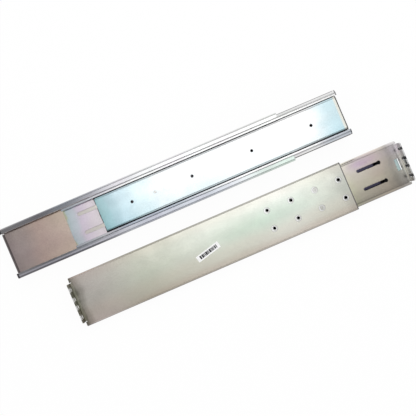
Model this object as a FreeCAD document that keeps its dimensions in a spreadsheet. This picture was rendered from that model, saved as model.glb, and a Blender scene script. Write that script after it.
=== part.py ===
import FreeCAD, Part
import math
import os
import Sketcher

# A pair of sliding server rails, in millimetres, +Z up.
# +X points to the front of the rack, and the origin is at the bottom centre of the pair.
#
# Each rail is drawn in a frame of its own: x runs forward from the front end of the front
# rail's web, y runs across the rail, and z is the depth from the rack side of the sleeve
# towards the server. Rail a lies with its server side up. Rail b is turned over.

SIZES = {
    # How the two rails lie
    "lane_offset": 54.15,
    "stagger": 60.0,
    "setback_a": 94.6,
    "setback_b": 90.9,
    # The sheet of the two rack channels, and the flanges bolted to the rack posts
    "sheet": 2.0,
    "bend_inner": 1.0,
    "flange_reach": 20.0,
    "flange_half": 31.5,
    "flange_root": 6.0,
    "flange_stand": 3.0,
    "flange_bend": 2.5,
    "relief_gap": 0.8,
    "flange_corner": 2.5,
    "rack_hole_radius": 3.55,
    "rack_hole_depth": 9.5,
    "rack_inner_pitch": 12.7,
    "rack_outer_pitch": 44.45,
    # The front rail, whose side walls are ball races
    "front_length": 452.0,
    "front_ear": 2.6,
    "front_half": 36.7,
    "race_radius": 4.1,
    "race_flat": 1.4,
    "long_slot_rear": 19.0,
    "long_slot_front": 98.0,
    "long_slot_radius": 2.75,
    "short_slot_rear": 69.0,
    "short_slot_radius": 2.4,
    "peg_setback": 33.7,
    "peg_hole_radius": 3.0,
    "window_rear": 10.4,
    "window_front": 3.3,
    "window_half": 9.25,
    "window_corner": 1.0,
    # The sleeve that carries the rear flange
    "sleeve_length": 454.0,
    "rear_ear": 1.2,
    "nest_gap": 0.2,
    "side_gap": 1.0,
    "lip_step": 3.8,
    "clamp_first": 11.2,
    "clamp_pitch": 40.3,
    "clamp_columns": 4,
    "clamp_used": 1,
    "clamp_row_offset": 15.0,
    "clamp_hole_radius": 2.25,
    "clamp_sink_radius": 4.0,
    "clamp_sink_angle": 90.0,
    # The chassis rail, which is screwed to the server
    "chassis_length": 398.5,
    "chassis_nose": 1.0,
    "chassis_sheet": 1.8,
    "chassis_rise": 2.9,
    "chassis_corner": 1.4,
    "chassis_travel": 257.0,
    "mouth_gap": 0.9,
    "groove_offset": 3.4,
    "groove_hem_angle": 40.0,
    "server_hole_radius": 2.25,
    "server_hole_pitch": 98.5,
    "server_hole_count": 4,
    "rear_corner": 3.0,
    # The two ball retainers and their balls
    "ball_radius": 3.97,
    "ball_pitch": 36.0,
    "ball_count": 4,
    "ball_play": 0.1,
    "retainer_sheet": 1.0,
    "retainer_length": 140.0,
    "retainer_margin": 2.0,
    "retainer_gap": 0.2,
    # The lock-out latch under the chassis rail
    "latch_rivet_setback": 89.0,
    "latch_pad_length": 18.0,
    "latch_sheet": 0.8,
    "latch_half": 6.0,
    "latch_corner": 3.0,
    "latch_run": 34.0,
    "latch_foot": 5.0,
    "latch_float": 0.3,
    "latch_split": 0.3,
    "latch_ease": 0.1,
    "rivet_radius": 1.6,
    "rivet_head_radius": 2.8,
    "rivet_head_height": 1.0,
    "rivet_head_bevel": 0.5,
    "rivet_sink": 0.1,
    # The clamp screws, washers and nuts, and the black pegs
    "screw_radius": 2.0,
    "screw_tip_bevel": 0.5,
    "screw_head_radius": 3.8,
    "screw_sink": 0.15,
    "screw_tail": 0.7,
    "recess_reach": 2.1,
    "recess_half_width": 0.45,
    "recess_depth": 1.3,
    "washer_radius": 5.0,
    "washer_sheet": 1.0,
    "nut_half_width": 3.5,
    "nut_height": 3.2,
    "thread_play": 0.1,
    "slide_gap": 0.1,
    "peg_play": 0.1,
    "peg_sink": 0.3,
    "peg_collar": 0.5,
    "peg_collar_height": 1.2,
}

# Depths, from the rack side of the sleeve towards the server
FRONT_FLOOR = "(Sizes.sheet + Sizes.nest_gap)"
FRONT_INSIDE = f"({FRONT_FLOOR} + Sizes.sheet)"
FRONT_DEPTH = "(2 * (Sizes.sheet + Sizes.race_radius) + Sizes.race_flat)"
FRONT_RIM = f"({FRONT_FLOOR} + {FRONT_DEPTH})"
SLEEVE_RIM = f"({FRONT_RIM} + Sizes.nest_gap + Sizes.sheet)"
RACE_DEPTH = f"({FRONT_FLOOR} + {FRONT_DEPTH} / 2)"
CHASSIS_FACE = f"({FRONT_RIM} + Sizes.chassis_rise)"
CHASSIS_UNDERSIDE = f"({CHASSIS_FACE} - Sizes.chassis_sheet)"
WASHER_SEAT = f"({FRONT_INSIDE} + Sizes.slide_gap)"
NUT_SEAT = f"({WASHER_SEAT} + Sizes.washer_sheet)"

# Half widths, from the middle of the rail
RACE_SIDE = "(Sizes.front_half - Sizes.sheet - Sizes.race_radius)"
CHASSIS_HALF = f"({RACE_SIDE} - Sizes.groove_offset)"
FRONT_MOUTH = f"({CHASSIS_HALF} + Sizes.mouth_gap)"
SLEEVE_HALF = "(Sizes.front_half + Sizes.side_gap + Sizes.sheet)"
SLEEVE_MOUTH = f"({FRONT_MOUTH} + Sizes.lip_step)"

# Places along the rail, from the front end of the front rail's web
CHASSIS_REAR = "(0 - Sizes.chassis_nose - Sizes.chassis_length)"
LATCH_RIVET = f"({CHASSIS_REAR} + Sizes.latch_rivet_setback)"
RETAINER_FRONT = "(0 - Sizes.retainer_margin - Sizes.chassis_travel / 2)"
RETAINER_MIDDLE = f"({RETAINER_FRONT} - Sizes.retainer_length / 2)"
CLAMP_COLUMN = "(Sizes.clamp_first + Sizes.clamp_used * Sizes.clamp_pitch)"

# Where the front end of each front rail's web lies, so that the pair is centred
FRONT_A = "((Sizes.setback_a + Sizes.sleeve_length - Sizes.stagger) / 2)"
RAILS = {
    "a": {
        "front": FRONT_A,
        "side": "Sizes.lane_offset",
        "base": "Sizes.flange_reach",
        "turn": 0,
        "setback": "Sizes.setback_a",
    },
    "b": {
        "front": f"({FRONT_A} + Sizes.stagger)",
        "side": "(0 - Sizes.lane_offset)",
        "base": CHASSIS_FACE,
        "turn": 180,
        "setback": "Sizes.setback_b",
    },
}

# How near a point has to be to count as lying at a place
NEAR = 0.01

# A nut has six sides, and its first corner stands half a side away from the rail's length
NUT_SIDES = 6
NUT_TURN = 360 // NUT_SIDES

document = FreeCAD.newDocument("server_rail_pair")


def make_sheet():
    """Write the driving dimensions into a spreadsheet, each with its alias."""
    cells = document.addObject("Spreadsheet::Sheet", "Sizes")
    for row, (name, size) in enumerate(SIZES.items(), start=1):
        cells.set(f"A{row}", name)
        cells.set(f"B{row}", str(size))
        cells.setAlias(f"B{row}", name)
    document.recompute()
    return cells


sheet = make_sheet()


def value(expression):
    """Number that a sheet expression stands for."""
    return float(sheet.evalExpression(expression))


def new_body(name, rail, shift="0"):
    """Body with its own label, laid where its rail lies and shifted along it."""
    body = document.addObject("PartDesign::Body", name)
    body.Label = name
    lie = RAILS[rail]
    turn = FreeCAD.Rotation(FreeCAD.Vector(1, 0, 0), lie["turn"])
    body.Placement = FreeCAD.Placement(FreeCAD.Vector(0, 0, 0), turn)
    body.setExpression("Placement.Base.x", f"{lie['front']} + {shift}")
    body.setExpression("Placement.Base.y", lie["side"])
    body.setExpression("Placement.Base.z", lie["base"])
    return body


def origin_part(body, role):
    """Origin plane or axis of a body, found by its role."""
    for feature in body.Origin.OriginFeatures:
        if feature.Role == role:
            return feature
    raise ValueError(role)


def sketch_on(body, plane, name, offset=None):
    """Empty sketch on an origin plane, or at a bound distance along its normal."""
    sketch = body.newObject("Sketcher::SketchObject", name)
    sketch.AttachmentSupport = [(origin_part(body, plane), "")]
    sketch.MapMode = "FlatFace"
    if offset:
        sketch.setExpression("AttachmentOffset.Base.z", offset)
    return sketch


def bind_point(sketch, geometry, end, across, up):
    """Tie one point of a sketch to two sheet expressions, measured from the origin."""
    for kind, expression in (("DistanceX", across), ("DistanceY", up)):
        constraint = Sketcher.Constraint(kind, -1, 1, geometry, end, value(expression))
        index = sketch.addConstraint(constraint)
        sketch.setExpression(f"Constraints[{index}]", expression)


def bind_radius(sketch, geometry, radius):
    """Tie the radius of an arc or circle to a sheet expression."""
    index = sketch.addConstraint(Sketcher.Constraint("Radius", geometry, value(radius)))
    sketch.setExpression(f"Constraints[{index}]", radius)


def arc_between(sketch, start, end, centre, radius):
    """Add the shorter arc from start to end, and give its number and its two end codes."""
    middle = (start + end) * 0.5 - centre
    middle = centre + middle.normalize() * radius
    arc = sketch.addGeometry(Part.ArcOfCircle(start, middle, end), False)
    starts_first = (sketch.getPoint(arc, 1) - start).Length < NEAR
    return (arc, 1, 2) if starts_first else (arc, 2, 1)


def round_corner(sketch, point, before, after, radius):
    """Tangent points and centre of the arc that rounds one corner of an outline."""
    back = (before - point).normalize()
    ahead = (after - point).normalize()
    half_angle = back.getAngle(ahead) / 2
    reach = radius / math.tan(half_angle)
    centre = point + (back + ahead).normalize() * (radius / math.sin(half_angle))
    return point + back * reach, point + ahead * reach, centre


def outline(sketch, corners, arcs=None):
    """Closed outline through corners, each two expressions and perhaps a rounding.

    arcs maps a corner's number to the centre and radius of the arc that leaves it.
    """
    arcs = arcs or {}
    count = len(corners)
    points = [FreeCAD.Vector(value(corner[0]), value(corner[1]), 0) for corner in corners]
    tangents = []
    for index, corner in enumerate(corners):
        point = points[index]
        if len(corner) > 2:
            after = points[(index + 1) % count]
            tangents.append(round_corner(sketch, point, points[index - 1], after, value(corner[2])))
        else:
            tangents.append((point, point, None))
    edges = []
    for index in range(count):
        start = tangents[index][1]
        end = tangents[(index + 1) % count][0]
        if index in arcs:
            centre = FreeCAD.Vector(value(arcs[index][0]), value(arcs[index][1]), 0)
            edges.append(arc_between(sketch, start, end, centre, value(arcs[index][2])))
            bind_radius(sketch, edges[-1][0], arcs[index][2])
        else:
            line = sketch.addGeometry(Part.LineSegment(start, end), False)
            edges.append((line, 1, 2))
    for index, corner in enumerate(corners):
        edge_in = edges[index - 1]
        edge_out = edges[index]
        arrive, leave, centre = tangents[index]
        if centre is None:
            joint = ("Coincident", edge_in[0], edge_in[2], edge_out[0], edge_out[1])
            sketch.addConstraint(Sketcher.Constraint(*joint))
            bind_point(sketch, edge_out[0], edge_out[1], corner[0], corner[1])
            continue
        arc, first, last = arc_between(sketch, arrive, leave, centre, value(corner[2]))
        sketch.addConstraint(Sketcher.Constraint("Tangent", edge_in[0], edge_in[2], arc, first))
        sketch.addConstraint(Sketcher.Constraint("Tangent", arc, last, edge_out[0], edge_out[1]))
        mark = sketch.addGeometry(Part.Point(points[index]), True)
        sketch.addConstraint(Sketcher.Constraint("PointOnObject", mark, 1, edge_in[0]))
        sketch.addConstraint(Sketcher.Constraint("PointOnObject", mark, 1, edge_out[0]))
        bind_point(sketch, mark, 1, corner[0], corner[1])
        bind_radius(sketch, arc, corner[2])


def circle(sketch, across, up, radius):
    """Circle with its centre and radius bound."""
    centre = FreeCAD.Vector(value(across), value(up), 0)
    normal = FreeCAD.Vector(0, 0, 1)
    ring = sketch.addGeometry(Part.Circle(centre, normal, value(radius)), False)
    bind_point(sketch, ring, 3, across, up)
    bind_radius(sketch, ring, radius)


def slot(sketch, rear, front, side, radius):
    """Slot along the rail between two bound end centres."""
    size = value(radius)
    centres = [FreeCAD.Vector(value(end), value(side), 0) for end in (rear, front)]
    normal = FreeCAD.Vector(0, 0, 1)
    turns = [(math.pi / 2, 3 * math.pi / 2), (-math.pi / 2, math.pi / 2)]
    ends = []
    for centre, (begin, finish), place in zip(centres, turns, (rear, front)):
        arc = Part.ArcOfCircle(Part.Circle(centre, normal, size), begin, finish)
        ends.append(sketch.addGeometry(arc, False))
        bind_point(sketch, ends[-1], 3, place, side)
    up = FreeCAD.Vector(0, size, 0)
    below = Part.LineSegment(centres[0] - up, centres[1] - up)
    above = Part.LineSegment(centres[1] + up, centres[0] + up)
    lower = sketch.addGeometry(below, False)
    upper = sketch.addGeometry(above, False)
    for first, first_end, second, second_end in (
        (ends[0], 2, lower, 1),
        (lower, 2, ends[1], 1),
        (ends[1], 2, upper, 1),
        (upper, 2, ends[0], 1),
    ):
        sketch.addConstraint(Sketcher.Constraint("Tangent", first, first_end, second, second_end))
    bind_radius(sketch, ends[0], radius)


def pad(body, sketch, length, both_ways=False, backwards=False):
    """Pad of a bound length, about the sketch or to one side of it."""
    feature = body.newObject("PartDesign::Pad", sketch.Name + "_pad")
    feature.Profile = sketch
    feature.Midplane = both_ways
    feature.Reversed = backwards
    feature.setExpression("Length", length)
    document.recompute()
    return feature


def cut_through(body, sketch):
    """Pocket right through the body, both ways from the sketch."""
    before = body.Shape.Volume
    feature = body.newObject("PartDesign::Pocket", sketch.Name + "_cut")
    feature.Profile = sketch
    feature.Type = "ThroughAll"
    feature.Midplane = True
    document.recompute()
    if not body.Shape.Volume < before:
        raise ValueError(f"{feature.Label} cuts nothing")
    return feature


def revolve(body, sketch):
    """Full turn of a sketch about its first construction line."""
    feature = body.newObject("PartDesign::Revolution", sketch.Name + "_turn")
    feature.Profile = sketch
    feature.ReferenceAxis = (sketch, ["Axis0"])
    feature.Angle = 360
    document.recompute()
    return feature


def mirror_across(body, features, name):
    """Repeat features on the other side of the rail's middle plane."""
    feature = body.newObject("PartDesign::Mirrored", name)
    feature.Originals = features
    feature.MirrorPlane = (origin_part(body, "XZ_Plane"), [""])
    body.Tip = feature
    document.recompute()
    return feature


def row_along(body, feature_in, pitch, count, name):
    """Repeat a feature forward along the rail."""
    feature = body.newObject("PartDesign::LinearPattern", name)
    feature.Originals = [feature_in]
    feature.Direction = (origin_part(body, "X_Axis"), [""])
    feature.setExpression("Length", f"({count} - 1) * {pitch}")
    feature.setExpression("Occurrences", count)
    body.Tip = feature
    document.recompute()
    return feature


def round_edges(body, picked, radius, name):
    """Fillet of the edges of the body that the test picks."""
    base = body.Tip
    names = []
    for index, edge in enumerate(base.Shape.Edges, start=1):
        if len(edge.Vertexes) == 2 and picked(edge):
            names.append(f"Edge{index}")
    feature = body.newObject("PartDesign::Fillet", name)
    feature.Base = (base, names)
    feature.setExpression("Radius", radius)
    document.recompute()
    return feature


def channel_section(sketch, half, floor, rim, mouth, inner_radius):
    """Outline of a channel bent from sheet: web, two side walls and two inward lips."""
    outer_radius = f"{inner_radius} + Sizes.sheet"
    wall = f"({half} - Sizes.sheet)"
    inside = f"({floor} + Sizes.sheet)"
    under_lip = f"({rim} - Sizes.sheet)"
    right_side = [
        (half, floor, outer_radius),
        (half, rim, outer_radius),
        (mouth, rim),
        (mouth, under_lip),
        (wall, under_lip, inner_radius),
        (wall, inside, inner_radius),
    ]
    left_side = []
    for corner in reversed(right_side):
        left_side.append((f"0 - {corner[0]}",) + corner[1:])
    outline(sketch, right_side + left_side)


def bend_relief(body, end, sign, floor, ear):
    """Cut the web back to where the flange bends, so that an ear stays on each side of it."""
    bend = "(Sizes.flange_bend + Sizes.sheet)"
    start = f"({end} + {sign} * (Sizes.flange_stand - {bend}))"
    past = f"({end} + {sign} * ({ear} + Sizes.sheet))"
    side = "(Sizes.flange_half + Sizes.relief_gap)"
    notch = sketch_on(body, "XY_Plane", "bend_relief")
    outline(notch, [(start, f"0 - {side}"), (past, f"0 - {side}"), (past, side), (start, side)])
    before = body.Shape.Volume
    relief = body.newObject("PartDesign::Pocket", "bend_relief_cut")
    relief.Profile = notch
    relief.Reversed = True
    relief.setExpression("Length", f"{floor} + Sizes.sheet + Sizes.relief_gap")
    document.recompute()
    if not body.Shape.Volume < before:
        raise ValueError(f"{relief.Label} cuts nothing")


def rack_flange(body, end, sign, floor, ear):
    """Flange bent from the end of the web away from the server, with four rack holes."""
    bend_relief(body, end, sign, floor, ear)
    bend = "(Sizes.flange_bend + Sizes.sheet)"
    root = f"({end} - {sign} * Sizes.flange_root)"
    outer = f"({end} + {sign} * Sizes.flange_stand)"
    inner = f"({outer} - {sign} * Sizes.sheet)"
    tip = "0 - Sizes.flange_reach"
    section = sketch_on(body, "XZ_Plane", "flange_section")
    outline(section, [
        (root, floor),
        (root, f"{floor} + Sizes.sheet"),
        (outer, f"{floor} + Sizes.sheet", bend),
        (outer, tip),
        (inner, tip),
        (inner, floor, "Sizes.flange_bend"),
    ])
    pad(body, section, "2 * Sizes.flange_half", both_ways=True)
    holes = sketch_on(body, "YZ_Plane", "rack_holes")
    for pitch in ("Sizes.rack_inner_pitch", "Sizes.rack_outer_pitch"):
        for side in ("-", ""):
            place = f"{side}{pitch} / 2"
            circle(holes, place, "0 - Sizes.rack_hole_depth", "Sizes.rack_hole_radius")
    cut_through(body, holes)
    tip_depth = value(tip)
    side_place = value("Sizes.flange_half")

    def free_corner(edge):
        first, last = [vertex.Point for vertex in edge.Vertexes]
        at_tip = max(abs(first.z - tip_depth), abs(last.z - tip_depth)) < NEAR
        at_side = abs(abs(first.y) - side_place) < NEAR
        return at_tip and at_side and abs(first.y - last.y) < NEAR

    round_edges(body, free_corner, "Sizes.flange_corner", "flange_corners")


def rear_bracket(rail):
    """Sleeve round the rear of the front rail, with the rear rack flange."""
    setback = RAILS[rail]["setback"]
    body = new_body(f"rear_bracket_{rail}", rail, f"(0 - {setback})")
    section = sketch_on(body, "YZ_Plane", "sleeve_section")
    channel_section(section, SLEEVE_HALF, "0", SLEEVE_RIM, SLEEVE_MOUTH, "Sizes.bend_inner")
    pad(body, section, "Sizes.sleeve_length + Sizes.rear_ear", backwards=True)
    rack_flange(body, "(0 - Sizes.sleeve_length)", "-1", "0", "Sizes.rear_ear")
    centres = sketch_on(body, "XY_Plane", "clamp_holes")
    for column in range(int(value("Sizes.clamp_columns"))):
        for side in ("-", ""):
            place = f"0 - Sizes.clamp_first - {column} * Sizes.clamp_pitch"
            row = f"{side}Sizes.clamp_row_offset"
            circle(centres, place, row, "Sizes.clamp_hole_radius")
    holes = body.newObject("PartDesign::Hole", "countersunk_holes")
    holes.Profile = centres
    document.recompute()
    holes.Reversed = True
    holes.DepthType = "ThroughAll"
    holes.HoleCutType = "Countersink"
    holes.setExpression("Diameter", "2 * Sizes.clamp_hole_radius")
    holes.setExpression("HoleCutDiameter", "2 * Sizes.clamp_sink_radius")
    holes.setExpression("HoleCutCountersinkAngle", "Sizes.clamp_sink_angle * 1 deg")
    document.recompute()
    return body


def front_rail(rail):
    """Channel with ball races in its side walls and the front rack flange."""
    body = new_body(f"front_rail_{rail}", rail)
    section = sketch_on(body, "YZ_Plane", "race_section", "Sizes.front_ear")
    channel_section(section, "Sizes.front_half", FRONT_FLOOR, FRONT_RIM, FRONT_MOUTH,
                    "Sizes.race_radius")
    pad(body, section, "Sizes.front_length + Sizes.front_ear", backwards=True)
    rack_flange(body, "0", "1", FRONT_FLOOR, "Sizes.front_ear")
    slots = sketch_on(body, "XY_Plane", "slots")
    long_rear = "0 - Sizes.front_length + Sizes.long_slot_rear + Sizes.long_slot_radius"
    long_front = "0 - Sizes.long_slot_front - Sizes.long_slot_radius"
    short_rear = "0 - Sizes.short_slot_rear"
    short_front = "0 - Sizes.peg_setback - Sizes.peg_hole_radius"
    for side in ("-", ""):
        row = f"{side}Sizes.clamp_row_offset"
        slot(slots, long_rear, long_front, row, "Sizes.long_slot_radius")
        slot(slots, short_rear, short_front, row, "Sizes.short_slot_radius")
    cut_through(body, slots)
    peg_holes = sketch_on(body, "XY_Plane", "peg_holes")
    for side in ("-", ""):
        row = f"{side}Sizes.clamp_row_offset"
        circle(peg_holes, "0 - Sizes.peg_setback", row, "Sizes.peg_hole_radius")
    cut_through(body, peg_holes)
    window = sketch_on(body, "XY_Plane", "latch_window")
    outline(window, [
        ("0 - Sizes.window_rear", "0 - Sizes.window_half", "Sizes.window_corner"),
        ("0 - Sizes.window_front", "0 - Sizes.window_half", "Sizes.window_corner"),
        ("0 - Sizes.window_front", "Sizes.window_half", "Sizes.window_corner"),
        ("0 - Sizes.window_rear", "Sizes.window_half", "Sizes.window_corner"),
    ])
    cut_through(body, window)
    return body


def chassis_section(sketch):
    """Half outline of the chassis rail: web, side wall and the groove rolled into it."""
    sheet_size = "Sizes.chassis_sheet"
    back_radius = f"(Sizes.race_radius + {sheet_size})"
    inner_side = f"({CHASSIS_HALF} - {sheet_size})"
    groove_top = f"({RACE_DEPTH} + sqrt(Sizes.race_radius ^ 2 - Sizes.groove_offset ^ 2))"
    back_side = f"(Sizes.groove_offset + {sheet_size})"
    back_top = f"({RACE_DEPTH} + sqrt({back_radius} ^ 2 - {back_side} ^ 2))"
    level = "cos(Sizes.groove_hem_angle * 1 deg)"
    drop = "sin(Sizes.groove_hem_angle * 1 deg)"
    corners = [
        ("0", CHASSIS_FACE),
        (CHASSIS_HALF, CHASSIS_FACE, f"Sizes.chassis_corner + {sheet_size}"),
        (CHASSIS_HALF, groove_top),
        (f"{RACE_SIDE} - Sizes.race_radius * {level}", f"{RACE_DEPTH} - Sizes.race_radius * {drop}"),
        (f"{RACE_SIDE} - {back_radius} * {level}", f"{RACE_DEPTH} - {back_radius} * {drop}"),
        (inner_side, back_top),
        (inner_side, CHASSIS_UNDERSIDE, "Sizes.chassis_corner"),
        ("0", CHASSIS_UNDERSIDE),
    ]
    arcs = {
        2: (RACE_SIDE, RACE_DEPTH, "Sizes.race_radius"),
        4: (RACE_SIDE, RACE_DEPTH, back_radius),
    }
    outline(sketch, corners, arcs)


def chassis_rail(rail):
    """Inner rail that is screwed to the server and runs on the balls."""
    body = new_body(f"chassis_rail_{rail}", rail, CHASSIS_REAR)
    section = sketch_on(body, "YZ_Plane", "half_section")
    chassis_section(section)
    half = pad(body, section, "Sizes.chassis_length")
    mirror_across(body, [half], "other_half")
    corner = sketch_on(body, "XY_Plane", "rear_corner_relief")
    past = "Sizes.chassis_sheet"
    outline(corner, [
        (f"0 - {past}", f"{CHASSIS_HALF} - Sizes.rear_corner"),
        ("0", f"{CHASSIS_HALF} - Sizes.rear_corner"),
        ("Sizes.rear_corner", CHASSIS_HALF),
        ("Sizes.rear_corner", f"{CHASSIS_HALF} + {past}"),
        (f"0 - {past}", f"{CHASSIS_HALF} + {past}"),
    ], {1: ("Sizes.rear_corner", f"{CHASSIS_HALF} - Sizes.rear_corner", "Sizes.rear_corner")})
    relief = cut_through(body, corner)
    mirror_across(body, [relief], "other_corner")
    holes = sketch_on(body, "XY_Plane", "server_holes")
    row = "(Sizes.server_hole_count - 1) * Sizes.server_hole_pitch"
    for step in range(int(value("Sizes.server_hole_count"))):
        place = f"(Sizes.chassis_length - {row}) / 2 + {step} * Sizes.server_hole_pitch"
        circle(holes, place, "0", "Sizes.server_hole_radius")
    rivet_place = "Sizes.latch_rivet_setback"
    circle(holes, rivet_place, "0", "Sizes.rivet_radius + Sizes.thread_play")
    cut_through(body, holes)
    return body


def ball_retainer(rail, edge, side):
    """Strip with a row of holes, which spaces the balls of one race."""
    body = new_body(f"ball_retainer_{edge}_{rail}", rail, RETAINER_MIDDLE)
    plane_offset = f"0 - ({side} * {RACE_SIDE})"
    blank = sketch_on(body, "XZ_Plane", "strip", plane_offset)
    near = f"{FRONT_INSIDE} + Sizes.retainer_gap"
    far = f"{FRONT_RIM} - Sizes.sheet - Sizes.retainer_gap"
    rear = "0 - Sizes.retainer_length / 2"
    front = "Sizes.retainer_length / 2"
    radius = "Sizes.retainer_sheet"
    outline(blank, [
        (rear, near, radius),
        (front, near, radius),
        (front, far, radius),
        (rear, far, radius),
    ])
    pad(body, blank, "Sizes.retainer_sheet", both_ways=True)
    hole = sketch_on(body, "XZ_Plane", "ball_hole", plane_offset)
    first = "0 - (Sizes.ball_count - 1) * Sizes.ball_pitch / 2"
    circle(hole, first, RACE_DEPTH, "Sizes.ball_radius + Sizes.ball_play")
    cut = cut_through(body, hole)
    row_along(body, cut, "Sizes.ball_pitch", "Sizes.ball_count", "ball_hole_row")
    return body


def balls(rail, edge, side):
    """Row of steel balls of one race."""
    body = new_body(f"balls_{edge}_{rail}", rail, RETAINER_MIDDLE)
    ball = body.newObject("PartDesign::AdditiveSphere", "ball")
    ball.AttachmentSupport = [(origin_part(body, "XY_Plane"), "")]
    ball.MapMode = "FlatFace"
    first = "0 - (Sizes.ball_count - 1) * Sizes.ball_pitch / 2"
    ball.setExpression("AttachmentOffset.Base.x", first)
    ball.setExpression("AttachmentOffset.Base.y", f"{side} * {RACE_SIDE}")
    ball.setExpression("AttachmentOffset.Base.z", RACE_DEPTH)
    ball.setExpression("Radius", "Sizes.ball_radius")
    document.recompute()
    row_along(body, ball, "Sizes.ball_pitch", "Sizes.ball_count", "ball_row")
    return body


def latch_pad(rail):
    """Fixed end of the latch spring, held flat under the chassis rail."""
    body = new_body(f"latch_pad_{rail}", rail, LATCH_RIVET)
    plate = sketch_on(body, "XY_Plane", "pad_outline", f"{CHASSIS_UNDERSIDE} - Sizes.latch_sheet")
    half_length = "Sizes.latch_pad_length / 2"
    outline(plate, [
        (f"0 - {half_length}", "0 - Sizes.latch_half", "Sizes.latch_corner"),
        (half_length, "0 - Sizes.latch_half"),
        (half_length, "Sizes.latch_half"),
        (f"0 - {half_length}", "Sizes.latch_half", "Sizes.latch_corner"),
    ])
    circle(plate, "0", "0", "Sizes.rivet_radius + Sizes.thread_play")
    pad(body, plate, "Sizes.latch_sheet")
    return body


def latch_leaf(rail):
    """Springy end of the latch, which slants down to a foot over the front rail's web."""
    body = new_body(f"latch_leaf_{rail}", rail, f"{LATCH_RIVET} + Sizes.latch_pad_length / 2")
    side = sketch_on(body, "XZ_Plane", "leaf_side")
    root = "Sizes.latch_split"
    knee = f"({root} + Sizes.latch_run)"
    tip = f"({knee} + Sizes.latch_foot)"
    bottom = f"({FRONT_INSIDE} + Sizes.latch_float)"
    top = f"({CHASSIS_UNDERSIDE} - Sizes.latch_sheet - Sizes.latch_ease)"
    outline(side, [
        (root, top),
        (knee, bottom),
        (tip, bottom),
        (tip, f"{bottom} + Sizes.latch_sheet"),
        (knee, f"{bottom} + Sizes.latch_sheet"),
        (root, f"{top} + Sizes.latch_sheet"),
    ])
    pad(body, side, "2 * Sizes.latch_half", both_ways=True)
    return body


def turned_section(sketch, side, corners):
    """Half outline of a turned piece, outwards from an axis beside the middle of the rail."""
    low = value(corners[0][1])
    high = value(corners[-1][1])
    start = FreeCAD.Vector(value(side), low, 0)
    end = FreeCAD.Vector(value(side), high, 0)
    axis = sketch.addGeometry(Part.LineSegment(start, end), True)
    bind_point(sketch, axis, 1, side, corners[0][1])
    bind_point(sketch, axis, 2, side, corners[-1][1])
    outline(sketch, [(f"{side} + {corner[0]}", corner[1]) for corner in corners])


def latch_rivet(rail):
    """Rivet that holds the latch to the chassis rail, flush on the server side."""
    body = new_body(f"latch_rivet_{rail}", rail, LATCH_RIVET)
    half = sketch_on(body, "YZ_Plane", "rivet_section")
    pad_face = f"({CHASSIS_UNDERSIDE} - Sizes.latch_sheet)"
    head = f"({pad_face} - Sizes.rivet_head_height)"
    turned_section(half, "0", [
        ("0", head),
        ("Sizes.rivet_head_radius - Sizes.rivet_head_bevel", head),
        ("Sizes.rivet_head_radius", f"{head} + Sizes.rivet_head_bevel"),
        ("Sizes.rivet_head_radius", pad_face),
        ("Sizes.rivet_radius", pad_face),
        ("Sizes.rivet_radius", f"{CHASSIS_FACE} - Sizes.rivet_sink"),
        ("0", f"{CHASSIS_FACE} - Sizes.rivet_sink"),
    ])
    revolve(body, half)
    return body


def clamp_shift(rail):
    """Place of the clamp screws along the rail."""
    return f"(0 - {RAILS[rail]['setback']} - {CLAMP_COLUMN})"


def clamp_screws(rail):
    """Two flat-head screws with a cross recess, which fix the length of the rail."""
    body = new_body(f"clamp_screws_{rail}", rail, clamp_shift(rail))
    half = sketch_on(body, "YZ_Plane", "screw_section")
    side = "Sizes.clamp_row_offset"
    tail = f"({NUT_SEAT} + Sizes.nut_height + Sizes.screw_tail)"
    cone = "(Sizes.screw_sink + Sizes.screw_head_radius - Sizes.screw_radius)"
    turned_section(half, side, [
        ("0", "Sizes.screw_sink"),
        ("Sizes.screw_head_radius", "Sizes.screw_sink"),
        ("Sizes.screw_radius", cone),
        ("Sizes.screw_radius", f"{tail} - Sizes.screw_tip_bevel"),
        ("Sizes.screw_radius - Sizes.screw_tip_bevel", tail),
        ("0", tail),
    ])
    screw = revolve(body, half)
    cross = sketch_on(body, "XY_Plane", "cross_recess", "Sizes.screw_sink")
    reach = "Sizes.recess_reach"
    width = "Sizes.recess_half_width"
    quarter = [(reach, width), (width, width), (width, reach)]
    corners = []
    for sign_across, sign_up in ((1, 1), (-1, 1), (-1, -1), (1, -1)):
        points = quarter if sign_across == sign_up else list(reversed(quarter))
        for across, up in points:
            corners.append((f"{sign_across} * {across}", f"{side} + {sign_up} * {up}"))
    outline(cross, corners)
    recess = body.newObject("PartDesign::Pocket", "recess")
    recess.Profile = cross
    recess.Reversed = True
    recess.setExpression("Length", "Sizes.recess_depth")
    document.recompute()
    mirror_across(body, [screw, recess], "second_screw")
    return body


def clamp_washers(rail):
    """Two flat washers inside the front rail, over the long slots."""
    body = new_body(f"clamp_washers_{rail}", rail, clamp_shift(rail))
    ring = sketch_on(body, "XY_Plane", "washer_ring", WASHER_SEAT)
    circle(ring, "0", "Sizes.clamp_row_offset", "Sizes.washer_radius")
    circle(ring, "0", "Sizes.clamp_row_offset", "Sizes.screw_radius + Sizes.thread_play")
    washer = pad(body, ring, "Sizes.washer_sheet")
    mirror_across(body, [washer], "second_washer")
    return body


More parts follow.
